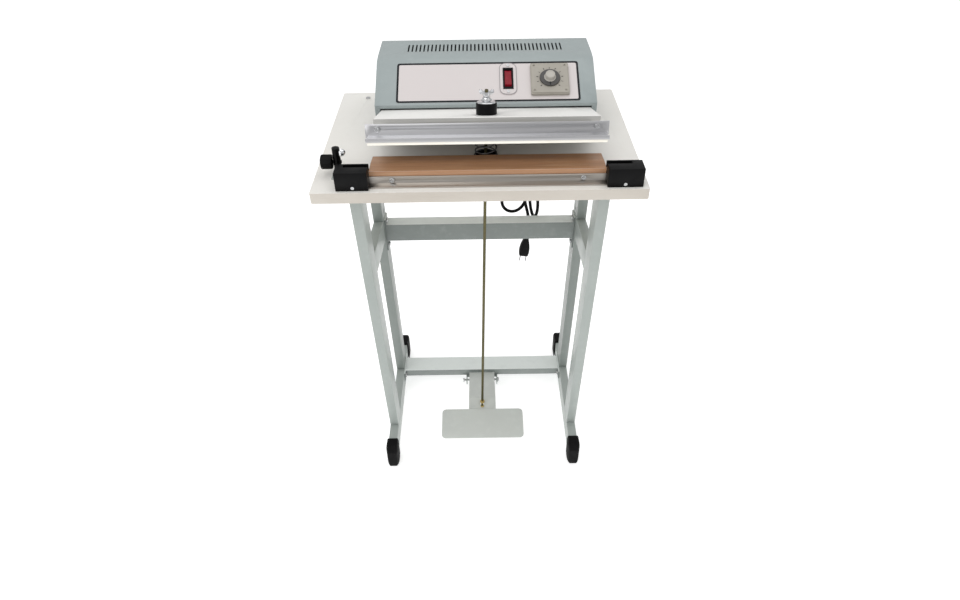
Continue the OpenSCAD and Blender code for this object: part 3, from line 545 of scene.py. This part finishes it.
# rubber caps on the ends of the base tubes: crowned, with a thick sole
def caps(name, node, y0, y1, closed_front):
    lo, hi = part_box(node)
    bm = bmesh.new()
    for s in (-1, 1):
        x0, x1 = (0.2045, 0.2335) if s > 0 else (-0.2335, -0.2045)
        part = bmesh.new()
        bmesh.ops.create_cube(part, size=1.0)
        for v in part.verts:
            v.co = Vector(((x0 + x1) / 2 + v.co.x * (x1 - x0), (y0 + y1) / 2 + v.co.y * (y1 - y0), 0.033 + v.co.z * 0.066))
        bmesh.ops.subdivide_edges(part, edges=part.edges, cuts=11, use_grid_fill=True)
        for v in part.verts:
            u = Vector(((v.co.x - (x0 + x1) / 2) / (x1 - x0) * 2, (v.co.y - (y0 + y1) / 2) / (y1 - y0) * 2, (v.co.z - 0.033) / 0.033))
            toward = u.y if not closed_front else -u.y
            # the closed end is rounded like a toe; the open end keeps its lip
            if toward > 0:
                k = toward ** 2.5
                v.co.x -= u.x * k * 0.0042
                if u.z > 0:
                    v.co.z -= k * 0.014 * u.z
                else:
                    v.co.z += k * 0.003 * abs(u.z)
            if abs(u.x) > 0.8 and abs(u.z) > 0.8:
                pull = (abs(u.x) - 0.8) * (abs(u.z) - 0.8) * 25
                v.co.x -= math.copysign(0.0022 * pull, u.x)
                v.co.z -= math.copysign(0.0022 * pull, u.z)
            if toward < -0.55 and toward > -0.85:
                v.co.x -= u.x * 0.0006
        me = bpy.data.meshes.new("tmp")
        part.to_mesh(me)
        part.free()
        bm.from_mesh(me)
    o = from_bm(name, bm, "root", M["rubber"], 60)
    sub = o.modifiers.new("round", "SUBSURF")
    sub.levels = sub.render_levels = 1
    apply_mods(o)
    smooth(o.data, 60)
    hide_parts(node)

caps("front_foot_rubbers", "front_foot_caps", -0.184, -0.148, True)
caps("rear_foot_rubbers", "rear_foot_caps", 0.192, 0.240, False)

# ------------------------------------------------------------------ control panel
ix = HX * 1000
plate_on_panel("label_border", rrect(18.5, 49.4, 336, 89.2, 5), 0.45, 0.85, "root", M["ink"], rrect(18.5, 49.4, 328.6, 81.8, 3))
plate_on_panel("switch_outline", rrect(ix + 41.7, 55, 32, 71, 12), 2.1, 2.32, "root", M["outline"], rrect(ix + 41.7, 55, 29.6, 68.6, 11))
def tick_ring(name, cx, cy, z, r0, r1, w, count, a0, a1, mat):
    bm = bmesh.new()
    for k in range(count):
        a = math.radians(a0 + (a1 - a0) * k / (count - 1))
        big = 1.5 if k % 2 == 0 else 1.0
        d, t = Vector((math.cos(a), math.sin(a))), Vector((-math.sin(a), math.cos(a)))
        c = [d * r0 - t * w * big / 2, d * r0 + t * w * big / 2, d * r1 + t * w * big / 2, d * r1 - t * w * big / 2]
        lo = [bm.verts.new(panel_point(cx + p.x, cy + p.y, z - 0.05)) for p in c]
        hi = [bm.verts.new(panel_point(cx + p.x, cy + p.y, z + 0.12)) for p in c]
        bm.faces.new(hi)
        bm.faces.new(lo[::-1])
        for i in range(4):
            j = (i + 1) % 4
            bm.faces.new([lo[i], lo[j], hi[j], hi[i]])
    return from_bm(name, bm, "root", mat)
tick_ring("timer_marks", ix + 118, 50, 7.6, 21.5, 25, 0.9, 11, -45, 225, M["ink"])

# ------------------------------------------------------------------ knurled knob at the left end
kx, ky, kz = -0.272, -0.174, 0.824
def knurl(k, h):
    return 0 if h < 0.0015 or h > 0.0195 else (-0.0008 if k % 4 in (2, 3) else 0.0)
prof = [(0, 0), (0.0085, 0), (0.0092, 0.0006), (0.0105, 0.0007), (0.0118, 0.0014), (0.0125, 0.0022), (0.0125, 0.0185), (0.0116, 0.0200), (0.0096, 0.0206),
        (0.0070, 0.0210), (0.0029, 0.0211), (0.0029, 0.0360), (0, 0.0360)]
knob = revolve("knurled_knob", prof, (kx, ky, kz), (1, 0, 0), "knob", M["black"], 96, knurl)
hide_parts("clamp_knob")

# ------------------------------------------------------------------ timer dial: skirt with a fine milled edge, tapered grip and pointer
def milled(k, h):
    return -0.0005 if 0.0005 < h < 0.0022 and k % 2 else 0.0
nrm = Vector((0, -math.sin(PA), math.cos(PA)))
base = panel_point(ix + 118, 50, 8.1)
skirt = revolve("dial_skirt", [(0, -0.0135), (0.003, -0.0135), (0.003, 0.0), (0.0182, 0), (0.0189, 0.0006), (0.0189, 0.0017), (0.0182, 0.0023), (0.0125, 0.0027), (0.0108, 0.0030),
    (0.0092, 0.0040), (0.0088, 0.0105), (0.0080, 0.0117), (0.0064, 0.0119), (0.0058, 0.0112), (0, 0.0110)], base, nrm, "dial", M["dial"], 120, milled)
skirt.data.materials.append(M["grip"])
for f in skirt.data.polygons:
    if (f.center - base).dot(nrm) > 0.0031:
        f.material_index = 1
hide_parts("timer_dial")
bm = bmesh.new()
c = [(-0.7, -17.0), (0.7, -17.0), (0.7, -9.4), (-0.7, -9.4)]
lo = [bm.verts.new(panel_point(ix + 118 + x, 50 + y, 10.0)) for x, y in c]
hi = [bm.verts.new(panel_point(ix + 118 + x, 50 + y, 11.3)) for x, y in c]
bm.faces.new(hi); bm.faces.new(lo[::-1])
for i in range(4):
    bm.faces.new([lo[i], lo[(i + 1) % 4], hi[(i + 1) % 4], hi[i]])
from_bm("dial_pointer", bm, "dial", M["ink"])

# ------------------------------------------------------------------ fittings on the pull rod
rod_lo, rod_hi = Vector((0, -0.057, 0.084)), None
a0 = OPEN
byc, szc = -0.129 - 0.012, 0.8803 - 0.838
top = Vector((HX, 0.012 + byc * math.cos(a0) + szc * math.sin(a0), 0.838 - byc * math.sin(a0) + szc * math.cos(a0)))
along = (top - rod_lo).normalized()
rod_len = (top - rod_lo).length
def sphere_profile(r, cut0=-0.98, cut1=0.98, bore=0.003, n=14):
    out = [(bore, r * cut0)]
    for k in range(n + 1):
        h = r * (cut0 + (cut1 - cut0) * k / n)
        out.append((max(bore, math.sqrt(max(0, r * r - h * h))), h))
    out.append((bore, r * cut1))
    return out
seat = revolve("ball_seat", sphere_profile(0.0075, -0.9, 0.92), top, along, "rod", M["bright"], 40)
low_ball = revolve("lower_ball_nut", sphere_profile(0.0065, -0.9, 0.9), rod_lo - along * 0.0126, along, "rod", M["brass"], 36)
def hexy(k, h):
    a = (k * 2 * math.pi / 48) % (math.pi / 3) - math.pi / 6
    return 0.0050 / math.cos(a) - 0.0056 if 0.0004 < h < 0.0046 else 0.0
low_nut = revolve("lower_nut", [(0.003, 0), (0.0050, 0), (0.0056, 0.0006), (0.0056, 0.0044), (0.0050, 0.0050), (0.0044, 0.0052), (0.0044, 0.0068), (0.003, 0.007)],
    rod_lo + along * 0.0065, along, "rod", M["brass"], 48, hexy)
bm = bmesh.new()
for s in (-1, 1):
    part = bmesh.new()
    bmesh.ops.create_cone(part, cap_ends=True, segments=16, radius1=0.0015, radius2=0.0015, depth=0.0055)
    part.transform(Matrix.Translation(top + Vector((s * 0.00675, 0, 0))) @ Matrix.Rotation(math.pi / 2, 4, "Y"))
    me = bpy.data.meshes.new("t"); part.to_mesh(me); part.free(); bm.from_mesh(me)
pin = from_bm("seat_pin", bm, "rod", M["zinc"])
for o in (seat, low_ball, low_nut, pin):
    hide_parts("rod_nuts")

# wing nut: a turned hub with two cast ears blended into it
q = Vector((0, 0, 1)).rotation_difference(along)
ox = q @ Vector((1, 0, 0))
bm = bmesh.new()
hub = [(0.0031, 0.0), (0.0062, 0.0), (0.0064, 0.0008), (0.0060, 0.0020), (0.0056, 0.0060), (0.0050, 0.0073), (0.0031, 0.0075)]
hubo = revolve("wing_nut_hub", hub, top + along * 0.0076, along, "wing", M["bright"], 40)
part = bmesh.new()
for s in (-1, 1):
    outline = [(3.8, 1.2), (6.5, 1.4), (9.0, 2.2), (11.6, 4.0), (12.9, 6.4), (12.9, 8.8), (11.6, 10.6), (9.4, 11.0), (7.4, 9.8), (6.2, 7.8), (5.0, 6.6), (3.8, 6.4)]
    n = len(outline)
    rows = []
    for y, inset in ((-1.15, 0.5), (-0.8, 0.0), (0.8, 0.0), (1.15, 0.5)):
        cx, cz = 8.6, 6.2
        rows.append([part.verts.new(top + along * 0.0076 + q @ (Vector((s * (x - (x - cx) * inset * 0.12), y, z - (z - cz) * inset * 0.12)) * MM)) for x, z in outline])
    for a, b in zip(rows, rows[1:]):
        for k in range(n):
            part.faces.new([a[k], a[(k + 1) % n], b[(k + 1) % n], b[k]])
    part.faces.new(rows[0]); part.faces.new(rows[-1])
ears = from_bm("wing_nut_ears", part, "wing", M["bright"], 50)
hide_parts("wing_nut"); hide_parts("wing_nut")
rim = revolve("bush_washer", [(0.0071, 0.0), (0.0160, 0.0), (0.0165, 0.0006), (0.0164, 0.0013), (0.0156, 0.0020), (0.0135, 0.0024), (0.0092, 0.0025), (0.0076, 0.0022), (0.0071, 0.0016)],
    PIVOT + Matrix.Rotation(-OPEN, 3, "X") @ Vector((0, -0.129 - 0.012, 0.875 - 0.838)), Matrix.Rotation(-OPEN, 3, "X") @ Vector((0, 0, 1)), "arm", M["bright"], 48)
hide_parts("bush_ring")

# ------------------------------------------------------------------ return spring
pts = []
turns, h0, h1 = 7, 0.0014, 0.0672
for i in range(turns * 36 + 1):
    t = i / (turns * 36)
    a = 2 * math.pi * turns * t
    f = 1 / turns
    z = h0 + 0.0028 * t / f if t < f else (h1 - 0.0028 * (1 - t) / f if t > 1 - f else 0.0042 + (h1 - 0.0070) * (t - f) / (1 - 2 * f))
    pts.append(Vector((0.0125 + 0.019 * math.cos(a), -0.1160 + 0.019 * math.sin(a), 0.802 + z)))
coil = mesh_tube("coil_spring", pts, 0.0013, 10, "root", M["spring"])
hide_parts("return_spring")
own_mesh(coil)

# ------------------------------------------------------------------ cloth over the lower jaw
random.seed(4)
path = [(-0.2106, 0.8025), (-0.2106, 0.810), (-0.2106, 0.817), (-0.2104, 0.8228), (-0.2096, 0.8238)]
path += [(-0.208 + 0.026 * k / 9, 0.8239) for k in range(10)]
path += [(-0.1805 + 0.0315 * k / 9, 0.82375 - 0.0039 * k / 9) for k in range(10)]
bm = bmesh.new()
rows = []
nx = 160
for i in range(nx + 1):
    x = HX - 0.1996 + 0.3992 * i / nx
    row = []
    for j, (y, z) in enumerate(path):
        crease = 0.00022 * noise.noise(Vector((x * 9, y * 130, 3.1))) + 0.00012 * noise.noise(Vector((x * 40, y * 400, 7.7)))
        if j < 4:
            row.append(bm.verts.new(Vector((x, y - max(0, crease * 0.6), z))))
        else:
            row.append(bm.verts.new(Vector((x, y, z - 0.0002 + crease * 0.9))))
    rows.append(row)
for a, b in zip(rows, rows[1:]):
    for j in range(len(path) - 1):
        bm.faces.new([a[j], b[j], b[j + 1], a[j + 1]])
ptfe = from_bm("jaw_cloth", bm, "root", M["cloth"], 70)
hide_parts("ptfe_cloth")

# ------------------------------------------------------------------ floor and light
me = bpy.data.meshes.new("floor")
me.from_pydata([(-9, -6, 0), (9, -6, 0), (9, 12, 0), (-9, 12, 0)], [], [(0, 1, 2, 3)])
floor = bpy.data.objects.new("floor", me)
bpy.context.scene.collection.objects.link(floor)
fm = Mat("pale_floor", (0.86, 0.86, 0.86, 1), 0.75)
fm.vary(3, (0.83, 0.83, 0.83, 1), 0.3)
fm.b.inputs["Emission Color"].default_value = (1, 1, 1, 1)
fm.b.inputs["Emission Strength"].default_value = 0.56
me.materials.append(fm.done())

def lamp(name, loc, target, size, power, colour=(1, 1, 1)):
    d = bpy.data.lights.new(name, "AREA")
    d.shape = "RECTANGLE"
    d.size, d.size_y = size
    d.energy = power
    d.color = colour
    o = bpy.data.objects.new(name, d)
    o.location = loc
    o.rotation_euler = (Vector(target) - Vector(loc)).to_track_quat("-Z", "Y").to_euler()
    bpy.context.scene.collection.objects.link(o)
lamp("key", (-1.2, -1.8, 3.0), (0, 0, 0.5), (2.8, 2.8), 36)
lamp("fill", (2.2, -1.6, 1.8), (0, 0, 0.5), (2.0, 2.0), 5)
lamp("top", (0.2, 0.6, 3.2), (0, 0, 0.5), (2.6, 2.0), 17)
w = bpy.data.worlds.new("world")
w.use_nodes = True
w.node_tree.nodes["Background"].inputs["Color"].default_value = (1, 1, 1, 1)
w.node_tree.nodes["Background"].inputs["Strength"].default_value = 0.60
bpy.context.scene.world = w
bpy.context.scene.view_settings.view_transform = "Standard"
